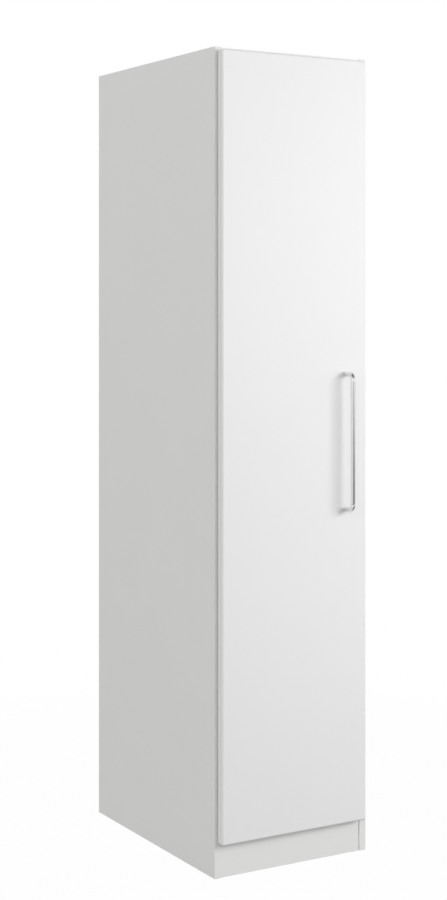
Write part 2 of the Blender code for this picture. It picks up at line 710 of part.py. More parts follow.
TOP_GROOVE = cross_board(BACK_FRONT - FIT, BACK_REAR + FIT, CEILING - FIT, CEILING + GROOVE_DEPTH, -FIT)
TOP_BOARD = cross_board(FRONT, REAR, CEILING, TOP_UPPER)
piece("top_panel", solid([TOP_BOARD], [TOP_GROOVE, *cam_cuts("top")]), WHITE_BOARD)
BASE_BOARD = cross_board(FRONT, BACK_FRONT - FIT, PLINTH_HEIGHT, BASE_TOP)
piece("base_panel", solid([BASE_BOARD], cam_cuts("base")), WHITE_BOARD)
piece("hat_shelf", shelf_board(), WHITE_BOARD)

BACK_HALF = WIDTH / 2 - BOARD + GROOVE_DEPTH - FIT
BACK_TOP = CEILING + GROOVE_DEPTH - FIT
BACK_SHEET = box((-BACK_HALF, BACK_FRONT, PLINTH_HEIGHT), (BACK_HALF, BACK_REAR, BACK_TOP))
piece("back_panel", BACK_SHEET, WHITE_HARDBOARD)

PLINTH_BOARD = cross_board(PLINTH_FRONT, PLINTH_FRONT + BOARD, 0, PLINTH_HEIGHT - FIT)
DOWEL_BORES = []
for side, side_sign in SIDES.items():
    end_x = inner_face(side_sign)
    outer_end = (end_x + side_sign * DOWEL_IN_SIDE, PLINTH_DOWEL_Y, PLINTH_HEIGHT / 2)
    inner_end = (end_x - side_sign * DOWEL_IN_PLINTH, PLINTH_DOWEL_Y, PLINTH_HEIGHT / 2)
    bore_end = (inner_end[0] - side_sign * FIT, PLINTH_DOWEL_Y, PLINTH_HEIGHT / 2)
    DOWEL_BORES.append(rod(outer_end, bore_end, DOWEL_RADIUS + FIT, SMALL_SEGMENTS))
    dowel = rod(outer_end, inner_end, DOWEL_RADIUS, SMALL_SEGMENTS)
    piece(f"plinth_dowel_{side}", dowel, BEECH, smooth=True)
piece("plinth", solid([PLINTH_BOARD], DOWEL_BORES), WHITE_BOARD)

# Cam joints of the top and the base
for place, panel_name, side_sign, depth_y in cam_places():
    piece(f"cam_lock_{place}", cam_lock(panel_name, side_sign, depth_y), ZINC, smooth=True)
    piece(f"cam_bolt_{place}", cam_bolt(panel_name, side_sign, depth_y), ZINC, smooth=True)

# Shelf pins, hanging rail and wall bracket
for side, side_sign in SIDES.items():
    for row, depth_y in SHELF_ROWS.items():
        piece(f"shelf_pin_{side}_{row}", shelf_pin(side_sign, depth_y), ZINC, smooth=True)
    piece(f"rail_socket_{side}", rail_socket(side_sign), CHROME, smooth=True)
piece("hanging_rail", hanging_rail(), CHROME, smooth=True)
piece("wall_bracket", wall_bracket(), ZINC)

# Door bumpers on the front edges of the top and the base
piece("door_bumper_upper", bumper((CEILING + DOOR_TOP) / 2), CLEAR_RUBBER, smooth=True)
piece("door_bumper_lower", bumper((DOOR_BOTTOM + BASE_TOP) / 2), CLEAR_RUBBER, smooth=True)

# Door, which turns about the hinge pins
DOOR_AXIS = bpy.data.objects.new("door_axis", None)
bpy.context.collection.objects.link(DOOR_AXIS)
DOOR_AXIS.location = (PIN_X, PIN_Y, DOOR_MIDDLE)
bpy.context.view_layer.update()

piece("door_panel", door_panel(), WHITE_DOOR, carrier=DOOR_AXIS, smooth=True)
piece("door_handle", bar_handle(), CHROME, carrier=DOOR_AXIS, smooth=True)
HANDLE_SHANK = DOOR_THICKNESS + HANDLE_SCREW_BITE
HANDLE_SCREW = screw((HANDLE_X, DOOR_BACK, 0), (0, 1, 0), HANDLE_SHANK, HANDLE_SCREW_RADIUS)
for end, height in HANDLE_ENDS.items():
    piece(f"handle_screw_{end}", HANDLE_SCREW, ZINC, (0, 0, height), DOOR_AXIS, smooth=True)

# Hinges: cups and pins go with the door, arms, plates and screws stay on the side panel
CUP = hinge_cup()
PIN = rod((PIN_X, PIN_Y, -PIN_LENGTH / 2), (PIN_X, PIN_Y, PIN_LENGTH / 2), PIN_RADIUS, SMALL_SEGMENTS)
ARM = hinge_arm()
PLATE = hinge_plate()
PLATE_SCREW = screw((PLATE_TOP, PLATE_Y, 0), (1, 0, 0), PLATE_TOP - INNER_LEFT + PLATE_SCREW_BITE)
ARM_SCREW = screw((ARM_OUTSIDE, PLATE_Y, 0), (1, 0, 0), ARM_OUTSIDE - PLATE_TOP - FIT)
for level, height in HINGE_HEIGHTS.items():
    spot = (0, 0, height)
    piece(f"hinge_cup_{level}", CUP, NICKEL, spot, DOOR_AXIS, smooth=True)
    piece(f"hinge_pin_{level}", PIN, NICKEL, spot, DOOR_AXIS, smooth=True)
    piece(f"hinge_arm_{level}", ARM, NICKEL, spot, smooth=True)
    piece(f"hinge_plate_{level}", PLATE, NICKEL, spot, smooth=True)
    piece(f"arm_screw_{level}", ARM_SCREW, ZINC, spot, smooth=True)
    for step, where in ((1, "over"), (-1, "under")):
        lifted = (0, 0, height + step * PLATE_SCREW_SPACING / 2)
        piece(f"plate_screw_{level}_{where}", PLATE_SCREW, ZINC, lifted, smooth=True)
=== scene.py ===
"""Looks of a tall, narrow white wardrobe: every board, fitting and finish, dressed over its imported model."""
import json
import math

import bmesh
import bpy
import numpy as np
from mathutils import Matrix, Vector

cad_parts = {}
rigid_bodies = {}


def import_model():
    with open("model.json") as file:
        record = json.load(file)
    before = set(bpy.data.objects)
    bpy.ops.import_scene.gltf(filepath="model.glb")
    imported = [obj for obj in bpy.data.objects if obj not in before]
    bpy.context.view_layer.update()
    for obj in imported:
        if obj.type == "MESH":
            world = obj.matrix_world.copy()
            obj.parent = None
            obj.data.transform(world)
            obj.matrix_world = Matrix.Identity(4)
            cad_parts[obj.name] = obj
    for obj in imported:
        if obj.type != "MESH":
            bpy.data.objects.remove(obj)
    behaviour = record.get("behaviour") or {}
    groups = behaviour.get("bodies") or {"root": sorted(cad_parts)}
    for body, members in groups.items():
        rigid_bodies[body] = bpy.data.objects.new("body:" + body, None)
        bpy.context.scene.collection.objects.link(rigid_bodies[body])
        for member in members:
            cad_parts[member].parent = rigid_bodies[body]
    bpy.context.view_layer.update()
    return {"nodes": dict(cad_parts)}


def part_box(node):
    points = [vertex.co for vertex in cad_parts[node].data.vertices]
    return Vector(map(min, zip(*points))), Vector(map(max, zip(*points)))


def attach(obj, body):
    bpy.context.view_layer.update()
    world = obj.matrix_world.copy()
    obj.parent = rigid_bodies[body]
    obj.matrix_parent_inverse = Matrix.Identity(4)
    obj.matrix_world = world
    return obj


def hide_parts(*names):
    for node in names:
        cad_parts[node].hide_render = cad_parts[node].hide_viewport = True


for left_over in list(bpy.data.objects):
    bpy.data.objects.remove(left_over, do_unlink=True)
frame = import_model()

# Side panels
# Two full-height boards of 18 mm particle board, faced on both sides with white melamine paper and edged
# at the front with a glued plastic strip. Their rear and bottom edges are left as sawn, bare board.
BOARD_WHITE = (0.82, 0.82, 0.81, 1)
BOARD_GREY = (0.80, 0.80, 0.792, 1)
BOARD_CLOUDS = 6.0
GRAIN = 1500.0
GRAIN_DEPTH = 0.00001
JOINT_GREY = (0.30, 0.30, 0.29, 1)
JOINT_SHOWS = 0.3
CHIP_DARK = (0.30, 0.20, 0.115, 1)
CHIP_LIGHT = (0.60, 0.46, 0.30, 1)
CHIPS = 420.0
CHIP_SHARE = 0.7
CHIP_DUST = 2600.0
SAWN_SKIN = 0.0004
SAWN_ROUGHER = 0.4
SAWN_DEEPER = 6
STRIP_THICKNESS = 0.001
STRIP_JOINT = 0.00012
ARRIS = 0.0008
ARRIS_STEPS = 4
CORNER_TO_ARRIS = 1.2
SHARP = math.radians(40)
FLAT_FACE_WEIGHT = 100
SLACK = 0.0003


class Socket:
    """One output of a shader node. Arithmetic on it adds Math nodes, and node() adds any other node."""

    def __init__(self, tree, output):
        self.tree = tree
        self.output = output

    def node(self, kind, settings=(), inputs=(), output=0):
        """Add a node: its settings first, ramp stops among them, then the values or links of its sockets."""
        made = self.tree.nodes.new(kind)
        for name, value in dict(settings).items():
            if name == "stops":
                ramp = made.color_ramp.elements
                while len(ramp) < len(value):
                    ramp.new(1.0)
                for stop, (position, colour) in zip(ramp, value):
                    stop.position = position
                    stop.color = colour
            else:
                setattr(made, name, value)
        for name, value in dict(inputs).items():
            if isinstance(value, Socket):
                self.tree.links.new(value.output, made.inputs[name])
            else:
                made.inputs[name].default_value = value
        return Socket(self.tree, made.outputs[output])

    def math(self, operation, *values):
        """Add one Math node."""
        return self.node("ShaderNodeMath", {"operation": operation}, dict(enumerate(values)))

    def __add__(self, other):
        return self.math("ADD", self, other)

    def __sub__(self, other):
        return self.math("SUBTRACT", self, other)

    def __rsub__(self, other):
        return self.math("SUBTRACT", other, self)

    def __mul__(self, other):
        return self.math("MULTIPLY", self, other)

    def __gt__(self, other):
        return self.math("GREATER_THAN", self, other)

    def __lt__(self, other):
        return self.math("LESS_THAN", self, other)

    def __abs__(self):
        return self.math("ABSOLUTE", self)

    def __or__(self, other):
        return self.math("MAXIMUM", self, other)

    __radd__ = __add__
    __rmul__ = __mul__

    def part(self, axis):
        """The X, Y or Z of a vector."""
        return self.node("ShaderNodeSeparateXYZ", inputs={0: self}, output=axis)

    def distance(self, point):
        """How far a place is from a point."""
        return self.node("ShaderNodeVectorMath", {"operation": "DISTANCE"}, {0: self, 1: point}, "Value")

    def smooth(self, start, end, before, after):
        """A soft step from one value to another while this one goes from start to end."""
        limits = {"From Min": start, "From Max": end, "To Min": before, "To Max": after}
        settings = {"interpolation_type": "SMOOTHSTEP"}
        return self.node("ShaderNodeMapRange", settings, {"Value": self, **limits})

    def noise(self, scale, detail=2.0):
        """Soft noise from 0 to 1, with this many features to a metre."""
        return self.node("ShaderNodeTexNoise", inputs={"Vector": self, "Scale": scale, "Detail": detail})

    def blend(self, first, second):
        """A colour between two, by this factor."""
        return self.node("ShaderNodeMix", {"data_type": "RGBA"}, {0: self, 6: first, 7: second}, 2)


class Finish:
    """A material with one Principled shader. What is the same all over is set on the shader's own sockets."""

    def __init__(self, name, **constants):
        self.material = bpy.data.materials.new(name)
        self.material.use_nodes = True
        self.tree = self.material.node_tree
        self.shader = self.tree.nodes["Principled BSDF"]
        for socket, value in constants.items():
            self.shader.inputs[socket.replace("_", " ")].default_value = value
        self.place = Socket(self.tree, self.tree.nodes.new("ShaderNodeTexCoord").outputs["Object"])

    def feed(self, socket, value):
        """Lead a value that changes over the surface into one of the shader's sockets."""
        self.tree.links.new(value.output, self.shader.inputs[socket])

    def tint(self, first, second, clouds, detail=2.0):
        """Let the colour drift between two, with this many clouds to a metre."""
        self.feed("Base Color", self.place.noise(clouds, detail).blend(first, second))

    def roughen(self, least, spread, clouds, detail=2.0, more=None):
        """Let the roughness drift up from its least by a spread, and by more where a mask says so."""
        drift = self.place.noise(clouds, detail) * spread + least
        self.feed("Roughness", drift if more is None else drift + more)

    def emboss(self, height, depth):
        """Bump the surface by a height from 0 to 1, this deep in metres."""
        self.feed("Normal", self.place.node("ShaderNodeBump", inputs={"Height": height, "Distance": depth}))

    def show(self, shader):
        """Let another shader make the surface."""
        self.tree.links.new(shader.output, self.tree.nodes["Material Output"].inputs["Surface"])


def melamine(front, rear):
    """White paper foil with a fine pearl grain, the strip's joint behind the front edge, and bare chips
    on the sawn rear and bottom edges."""
    made = Finish("white_melamine")
    place = made.place
    depth = place.part("Y")
    paper = place.noise(BOARD_CLOUDS).blend(BOARD_GREY, BOARD_WHITE)
    joint = abs(depth - (front + STRIP_THICKNESS)) < STRIP_JOINT / 2
    edged = (joint * JOINT_SHOWS).blend(paper, JOINT_GREY)
    chips = place.node("ShaderNodeTexVoronoi", inputs={"Vector": place, "Scale": CHIPS}, output="Color")
    mottle = chips.part("X") * CHIP_SHARE + place.noise(CHIP_DUST) * (1 - CHIP_SHARE)
    sawn = (depth > rear - SAWN_SKIN) | (place.part("Z") < SAWN_SKIN)
    made.feed("Base Color", sawn.blend(edged, mottle.blend(CHIP_DARK, CHIP_LIGHT)))
    made.roughen(least=0.43, spread=0.06, clouds=35.0, more=sawn * SAWN_ROUGHER)
    made.emboss(place.noise(GRAIN, detail=1.0) * (sawn * SAWN_DEEPER + 1), GRAIN_DEPTH)
    return made.material


def corner_ring(half_a, half_b, radius, steps):
    """Corner centres and outward directions of a rounded rectangle, anticlockwise from its +a, +b corner:
    each corner is a quarter circle about a centre one radius inside both edges."""
    signs = np.array([(1, 1), (-1, 1), (-1, -1), (1, -1)])
    quarter = np.linspace(0, np.pi / 2, steps + 1)
    angle = (np.arange(4)[:, None] * np.pi / 2 + quarter).ravel()
    centres = np.repeat(signs * (half_a - radius, half_b - radius), steps + 1, axis=0)
    return centres, np.stack((np.cos(angle), np.sin(angle)), -1)


def eased_ends(start, end, start_ease, end_ease, steps):
    """Places along a board and how far its outline is drawn in there: a quarter circle at either end, where
    ease * (1 - cos t) along the board goes with ease * (1 - sin t) of inset."""
    turn = np.linspace(0, np.pi / 2, steps + 1)
    along = 1 - np.cos(turn)
    inset = 1 - np.sin(turn)
    place = np.concatenate((start + start_ease * along, (end - end_ease * along)[::-1]))
    return place, np.concatenate((start_ease * inset, end_ease * inset[::-1]))


def eased_plan(low, high, ease):
    """Plan outlines of a board between two corners, with the height and the inset of each: a rounded
    rectangle, carried up and drawn in at both ends."""
    low = np.array(low)
    high = np.array(high)
    half = (high - low) / 2
    radius = ease * CORNER_TO_ARRIS
    centres, out = corner_ring(half[0], half[1], radius, ARRIS_STEPS)
    height, inset = eased_ends(low[2], high[2], ease, ease, ARRIS_STEPS)
    plan = centres + out * (radius - inset)[:, None, None] + (low + half)[:2]
    return plan, height, inset


def carried_up(plan, height):
    """Rings in space from plan outlines of (x, y) points and the height of each."""
    up = np.broadcast_to(height[:, None, None], (*plan.shape[:2], 1))
    return np.concatenate((plan, up), -1)


def solid_of(name, rings, looped=False):
    """A closed piece: rings of points joined by quads. The last ring runs on into the first where looped,
    and otherwise one flat face closes either end."""
    rows, columns, _ = rings.shape
    row, column = np.mgrid[0:rows if looped else rows - 1, 0:columns]
    this_row = row * columns
    next_row = (row + 1) % rows * columns
    next_column = (column + 1) % columns
    corners = (this_row + column, this_row + next_column, next_row + next_column, next_row + column)
    faces = np.stack(corners, -1).reshape(-1, 4).tolist()
    if not looped:
        faces += [list(range(columns))[::-1], list(range((rows - 1) * columns, rows * columns))]
    mesh = bpy.data.meshes.new(name)
    mesh.from_pydata(rings.reshape(-1, 3), [], faces)
    shell = bmesh.new()
    shell.from_mesh(mesh)
    if shell.calc_volume(signed=True) < 0:
        mesh.flip_normals()
    shell.free()
    piece = bpy.data.objects.new(name, mesh)
    bpy.context.scene.collection.objects.link(piece)
    return piece


def eased_board(name, low, high, ease=ARRIS):
    """A board between two corners, from its eased plan."""
    plan, height, _ = eased_plan(low, high, ease)
    return solid_of(name, carried_up(plan, height))


def dress(piece, finish, body, slot, *nodes):
    """Finish a piece: smooth arrises beside flat faces, its material, its body and what it stands for."""
    piece.data.materials.clear()
    piece.data.materials.append(finish)
    piece.data.shade_smooth()
    piece.data.set_sharp_from_angle(angle=SHARP)
    flat = piece.modifiers.new("flat_faces", "WEIGHTED_NORMAL")
    flat.keep_sharp = True
    flat.weight = FLAT_FACE_WEIGHT
    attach(piece, body)
    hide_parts(*nodes)


side_low, side_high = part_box("side_panel_left")
sheet_low, sheet_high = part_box("back_panel")
MELAMINE = melamine(side_low.y, side_high.y)


def side_rings():
    """The left side board: the plan of an eased board, with the back's groove let into its inner face."""
    plan, height, inset = eased_plan(side_low, side_high, ARRIS)
    mouth = side_high.x - inset
    bottom = np.full_like(mouth, sheet_low.x - SLACK)
    groove_x = np.stack((mouth, bottom, bottom, mouth), -1)
    near = np.full_like(mouth, sheet_low.y - SLACK)
    far = np.full_like(mouth, sheet_high.y + SLACK)
    groove_y = np.stack((near, near, far, far), -1)
    return carried_up(np.concatenate((plan, np.stack((groove_x, groove_y), -1)), 1), height)


for side, mirror in (("left", 1), ("right", -1)):
    board = solid_of(f"{side}_side", side_rings() * (mirror, 1, 1))
    dress(board, MELAMINE, "carcass", "white_board", f"side_panel_{side}")

# Top, base and hat shelf
# Boards of the same melamine between the sides. The top and base are drawn tight by round cams let into
# bores in their hidden faces; the hat shelf lies loose on four pins and is notched over their collars.
ROUND = 40
PIN_NOTCH = 0.0021
CORNER_NAMES = [f"{side}_{row}" for side in ("left", "right") for row in ("front", "rear")]


def turned(name, profile, start, axis, columns=ROUND, looped=False):
    """A turned piece: (d, r) pairs about a square axis, as start + d * axis + r * (u cos t + v sin t)."""
    profile = np.array(profile, float)
    axis = np.array(axis, float)
    u = np.roll(axis, 1)
    v = np.cross(axis, u)
    angle = np.linspace(0, 2 * np.pi, columns, endpoint=False)
    spokes = np.outer(np.cos(angle), u) + np.outer(np.sin(angle), v)
    rings = profile[:, 0, None, None] * axis + profile[:, 1, None, None] * spokes
    return solid_of(name, rings + np.array(start), looped)


def plug(radius, length, start, axis, columns=ROUND):
    """A plain round cutter from start along a square axis."""
    return turned("plug", [(0, radius), (length, radius)], start, axis, columns)


def cut_away(piece, cutters):
    """Take the room of the cutters out of a piece, and drop the cutters."""
    group = bpy.data.collections.new("cutters")
    bpy.context.scene.collection.children.link(group)
    for cutter in cutters:
        group.objects.link(cutter)
    cut = piece.modifiers.new("cut", "BOOLEAN")
    cut.operand_type = "COLLECTION"
    cut.collection = group
    left = piece.evaluated_get(bpy.context.evaluated_depsgraph_get())
    mesh = bpy.data.meshes.new_from_object(left)
    piece.modifiers.clear()
    piece.data = mesh
    for cutter in cutters:
        bpy.data.objects.remove(cutter, do_unlink=True)
    bpy.data.collections.remove(group)
    return piece


for panel, outward in (("top", 1), ("base", -1)):
    board = eased_board(f"{panel}_board", *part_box(f"{panel}_panel"))
    bores = []
    for name in CORNER_NAMES:
        cam_low, cam_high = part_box(f"cam_lock_{panel}_{name}")
        radius = (cam_high.y - cam_low.y) / 2 + SLACK
        middle = (cam_low + cam_high) / 2
        deep = cam_low.z - SLACK if outward > 0 else cam_high.z + SLACK
        reach = cam_high.z - cam_low.z + 4 * SLACK
        bores.append(plug(radius, reach, (middle.x, middle.y, deep), (0, 0, outward)))
    dress(cut_away(board, bores), MELAMINE, "carcass", "white_board", f"{panel}_panel")

shelf = eased_board("shelf_board", *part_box("hat_shelf"))
notches = []
for name in CORNER_NAMES:
    pin_low, pin_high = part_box(f"shelf_pin_{name}")
    middle = (pin_low + pin_high) / 2
    radius = (pin_high.y - pin_low.y) / 2 + SLACK
    inward = 1 if "left" in name else -1
    start = (inward * (side_high.x - SLACK), middle.y, middle.z)
    notches.append(plug(radius, PIN_NOTCH + SLACK, start, (inward, 0, 0)))
dress(cut_away(shelf, notches), MELAMINE, "carcass", "white_board", "hat_shelf")

# Plinth
# A board on edge under the base, set back a little from the front. Two beech dowels in its ends key it
# into the sides.
BEECH_DARK = (0.50, 0.33, 0.19, 1)
BEECH_LIGHT = (0.66, 0.48, 0.30, 1)
BEECH_GRAIN = 1800.0
BEECH_STRETCH = (0.08, 1, 1)


def beech():
    """Pale close-grained wood with fine streaks along the dowel."""
    made = Finish("beech", Roughness=0.6)
    along = made.place.node("ShaderNodeMapping", inputs={"Vector": made.place, "Scale": BEECH_STRETCH})
    made.feed("Base Color", along.noise(BEECH_GRAIN).blend(BEECH_DARK, BEECH_LIGHT))
    return made.material


def finish_node(node, finish):
    """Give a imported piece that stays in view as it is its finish."""
    shown = frame["nodes"][node]
    shown.data.materials.clear()
    shown.data.materials.append(finish)


dress(eased_board("plinth_board", *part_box("plinth")), MELAMINE, "carcass", "white_board", "plinth")
BEECH = beech()
for side in ("left", "right"):
    finish_node(f"plinth_dowel_{side}", BEECH)

# Back
# A thin sheet of hardboard slid up the grooves of the sides: white lacquer towards the inside, bare brown
# fibre towards the wall.
FIBRE_DARK = (0.21, 0.125, 0.066, 1)
FIBRE_LIGHT = (0.33, 0.205, 0.115, 1)
FIBRES = 900.0
FIBRE_SHARE = 0.7
FIBRE_CLOUDS = 14.0
FIBRE_ROUGHER = 0.12
PRESS_MARKS = 1100.0
PRESS_DEPTH = 0.00002


def hardboard(middle):
    """White lacquer in front of the sheet's middle plane, and mottled pressed fibre behind it."""
    made = Finish("hardboard")
    place = made.place
    behind = place.part("Y") > middle
    mottle = place.noise(FIBRES, detail=4.0) * FIBRE_SHARE + place.noise(FIBRE_CLOUDS) * (1 - FIBRE_SHARE)
    lacquer = place.noise(BOARD_CLOUDS).blend(BOARD_GREY, BOARD_WHITE)
    made.feed("Base Color", behind.blend(lacquer, mottle.blend(FIBRE_DARK, FIBRE_LIGHT)))
    made.roughen(least=0.48, spread=0.08, clouds=40.0, more=behind * FIBRE_ROUGHER)
    made.emboss(place.noise(PRESS_MARKS, detail=3.0), PRESS_DEPTH)
    return made.material


HARDBOARD = hardboard((sheet_low.y + sheet_high.y) / 2)
sheet = eased_board("back_sheet", sheet_low, sheet_high, ARRIS / 4)
dress(sheet, HARDBOARD, "carcass", "white_hardboard", "back_panel")

# Cams and bolts
# Die-cast zinc cams, crossed for a screwdriver, turned a quarter to pull in the head of a steel bolt that
# is screwed into the side.
ZINC_DARK = (0.50, 0.51, 0.53, 1)
ZINC_LIGHT = (0.66, 0.67, 0.68, 1)
ZINC_PITS = 2400.0
ZINC_PIT_DEPTH = 0.00001
CAM_ARRIS = 0.0002
FITTING_STEPS = 2
WELD = 0.000001
FLAT = math.radians(2)


def zinc():
    """Dull blue-grey plating, uneven from the casting."""
    made = Finish("zinc", Metallic=1.0)
    made.tint(ZINC_DARK, ZINC_LIGHT, clouds=220.0, detail=3.0)
    made.roughen(least=0.3, spread=0.25, clouds=700.0, detail=3.0)
    made.emboss(made.place.noise(ZINC_PITS), ZINC_PIT_DEPTH)
    return made.material


def softened(node, width, finish, body, slot):
    """A copy of a packed fitting, its flat faces joined up and its sharp arrises rounded to this width."""
    shell = bmesh.new()
    shell.from_mesh(frame["nodes"][node].data)
    bmesh.ops.remove_doubles(shell, verts=shell.verts, dist=WELD)
    bmesh.ops.dissolve_limit(shell, angle_limit=FLAT, verts=shell.verts, edges=shell.edges)
    sharp = [edge for edge in shell.edges if edge.is_manifold and edge.calc_face_angle() > SHARP]
    bmesh.ops.bevel(
        shell, geom=sharp, offset=width, segments=FITTING_STEPS, profile=0.5, affect="EDGES",
        clamp_overlap=True,
    )
    bmesh.ops.dissolve_degenerate(shell, dist=WELD, edges=shell.edges)
    mesh = bpy.data.meshes.new(f"{node}_form")
    shell.to_mesh(mesh)
    shell.free()
    piece = bpy.data.objects.new(f"{node}_form", mesh)
    bpy.context.scene.collection.objects.link(piece)
    dress(piece, finish, body, slot, node)


ZINC = zinc()
for panel in ("top", "base"):
    for name in CORNER_NAMES:
        softened(f"cam_lock_{panel}_{name}", CAM_ARRIS, ZINC, "carcass", "zinc_plate")
        finish_node(f"cam_bolt_{panel}_{name}", ZINC)

# Shelf pins
# Turned zinc-plated pegs pressed into the sides, each with a collar against the face of the board. The
# hat shelf rests on their ends.
PIN_COLLAR = 0.0012
PIN_PEG_RADIUS = 0.0025
PIN_PEG_LENGTH = 0.009
PIN_ROOT_RADIUS = 0.00175
PIN_TIP_RADIUS = 0.00125
PIN_EASE = 0.0004


def eased_profile(points, ease, steps=ARRIS_STEPS):
    """A profile with each inner corner rounded by a quadratic curve, from ease before to ease after it."""
    points = np.array(points, float)
    share = np.linspace(0, 1, steps + 1)[:, None]
    runs = [points[:1]]
    for before, corner, after in zip(points, points[1:], points[2:]):
        ends = []
        for other in (before, after):
            length = np.linalg.norm(other - corner)
            ends.append(corner + (other - corner) * (min(ease, length / 2) / length))
        runs.append((1 - share) ** 2 * ends[0] + 2 * share * (1 - share) * corner + share ** 2 * ends[1])
    return np.concatenate((*runs, points[-1:]))


for name in CORNER_NAMES:
    pin_low, pin_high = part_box(f"shelf_pin_{name}")
    middle = (pin_low + pin_high) / 2
    inward = 1 if "left" in name else -1
    start = (pin_low.x if inward > 0 else pin_high.x, middle.y, middle.z)
    collar = PIN_PEG_LENGTH + SLACK
    length = pin_high.x - pin_low.x
    collar_radius = (pin_high.y - pin_low.y) / 2
    profile = [
        (0, PIN_ROOT_RADIUS), (0, PIN_PEG_RADIUS), (collar, PIN_PEG_RADIUS), (collar, collar_radius),
        (collar + PIN_COLLAR, collar_radius), (collar + PIN_COLLAR, PIN_PEG_RADIUS),
        (length, PIN_PEG_RADIUS), (length, PIN_TIP_RADIUS),
    ]
    pin = turned(f"shelf_peg_{name}", eased_profile(profile, PIN_EASE), start, (inward, 0, 0))
    dress(pin, ZINC, "carcass", "zinc_plate", f"shelf_pin_{name}")

# Hanging rail and sockets
# A chromed steel tube between two round, chromed sockets. The sockets are pegged to the sides under the
# shelf, and the ends of the tube sit in their bores.
RAIL_WALL = 0.0012
SOCKET_FLANGE = 0.003
SOCKET_WALL = 0.0028
SOCKET_EASE = 0.001
FINE_ROUND = 64
CHROME_DARK = (0.78, 0.79, 0.80, 1)
CHROME_LIGHT = (0.84, 0.85, 0.86, 1)


def chrome():
    """Bright plating with the faint cloudiness of handling."""
    made = Finish("chrome", Metallic=1.0)
    made.tint(CHROME_DARK, CHROME_LIGHT, clouds=45.0)
    made.roughen(least=0.05, spread=0.05, clouds=90.0, detail=4.0)
    return made.material


CHROME = chrome()
rail_low, rail_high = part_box("hanging_rail")
rail_axis = (rail_low + rail_high) / 2
rail_radius = (rail_high.z - rail_low.z) / 2
rail_length = rail_high.x - rail_low.x
bore_radius = rail_radius - RAIL_WALL
tube = [(0, bore_radius), (0, rail_radius), (rail_length, rail_radius), (rail_length, bore_radius)]
start = (rail_low.x, rail_axis.y, rail_axis.z)
rail = turned("rail_tube", tube, start, (1, 0, 0), FINE_ROUND, looped=True)
dress(rail, CHROME, "carcass", "chrome", "hanging_rail")

for side, inward in (("left", 1), ("right", -1)):
    socket_low, socket_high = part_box(f"rail_socket_{side}")
    flange_radius = (socket_high.z - socket_low.z) / 2
    wall = inward * (side_high.x + SLACK)
    reach = abs((socket_high.x if inward > 0 else socket_low.x) - wall)
    bore = rail_radius + SLACK
    collar = bore + SOCKET_WALL
    profile = [
        (0, flange_radius), (SOCKET_FLANGE, flange_radius), (SOCKET_FLANGE, collar), (reach, collar),
        (reach, bore), (SOCKET_FLANGE, bore),
    ]
    start = (wall, rail_axis.y, rail_axis.z)
    cup = turned(f"rail_cup_{side}", eased_profile(profile, SOCKET_EASE), start, (inward, 0, 0), FINE_ROUND)
    dress(cup, CHROME, "carcass", "chrome", f"rail_socket_{side}")

# Wall bracket
# A strip of zinc-plated steel bent to a right angle under the top, with a hole in each leg for the screw
# that stops the wardrobe from tipping.
BRACKET_THICKNESS = 0.002
BRACKET_BEND = 0.003
BRACKET_HOLE = 0.003
BRACKET_HOLE_PLACE = 0.6

bracket_low, bracket_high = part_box("wall_bracket")
tip = bracket_low.y
foot = bracket_low.z
rear = bracket_high.y
top = bracket_high.z
# The outline of the bent strip starts and ends on the flat of its upper leg, so that every corner is eased.
halfway = (tip + rear) / 2
angle_strip = [
    (halfway, top), (tip, top), (tip, top - BRACKET_THICKNESS),
    (rear - BRACKET_THICKNESS, top - BRACKET_THICKNESS), (rear - BRACKET_THICKNESS, foot),
    (rear, foot), (rear, top), (halfway + BRACKET_BEND, top),
]
section = eased_profile(angle_strip, BRACKET_BEND)
rings = np.stack([np.insert(section, 0, x, axis=1) for x in (bracket_low.x, bracket_high.x)])
bracket = solid_of("angle_bracket", rings)
hole_y = rear - (rear - tip) * BRACKET_HOLE_PLACE
hole_z = top - (top - foot) * BRACKET_HOLE_PLACE
through = [(-2 * BRACKET_THICKNESS, BRACKET_HOLE), (2 * BRACKET_THICKNESS, BRACKET_HOLE)]
holes = [
    turned("hole", through, (0, hole_y, top), (0, 0, 1)),
    turned("hole", through, (0, rear, hole_z), (0, 1, 0)),
]
dress(cut_away(bracket, holes), ZINC, "carcass", "zinc_plate", "wall_bracket")

# Door bumpers
# Two domes of clear soft rubber, stuck to the front edges on the closing side. The door shuts softly
# against them.
RUBBER_CLOUDY = (0.70, 0.71, 0.71, 1)
RUBBER_CLEAR = (0.75, 0.76, 0.76, 1)
DOME_SHOULDER = 0.4
DOME_CROWN = 0.35
DOME_STEPS = 8


def rubber():
    """Clear soft plastic, a little cloudy."""
    made = Finish("clear_rubber", Coat_Weight=0.3, Coat_Roughness=0.15)
    made.tint(RUBBER_CLOUDY, RUBBER_CLEAR, clouds=400.0)
    made.roughen(least=0.25, spread=0.1, clouds=900.0)
    return made.material


CLEAR_RUBBER = rubber()
# Each dome is turned: from its shoulder to its crown, height goes with sin t and radius with cos t.
turn = np.linspace(0, np.pi / 2, DOME_STEPS + 1)
for end in ("upper", "lower"):
    dome_low, dome_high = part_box(f"door_bumper_{end}")
    middle = (dome_low + dome_high) / 2
    radius = (dome_high.x - dome_low.x) / 2
    height = dome_high.y - dome_low.y
    rise = height * (DOME_SHOULDER + (1 - DOME_SHOULDER) * np.sin(turn))
    span = radius * (DOME_CROWN + (1 - DOME_CROWN) * np.cos(turn))
    profile = np.concatenate(([(0, radius)], np.stack((rise, span), -1)))
    dome = turned(f"bumper_dome_{end}", profile, (middle.x, dome_high.y, middle.z), (0, -1, 0))
    dress(dome, CLEAR_RUBBER, "carcass", "clear_rubber", f"door_bumper_{end}")

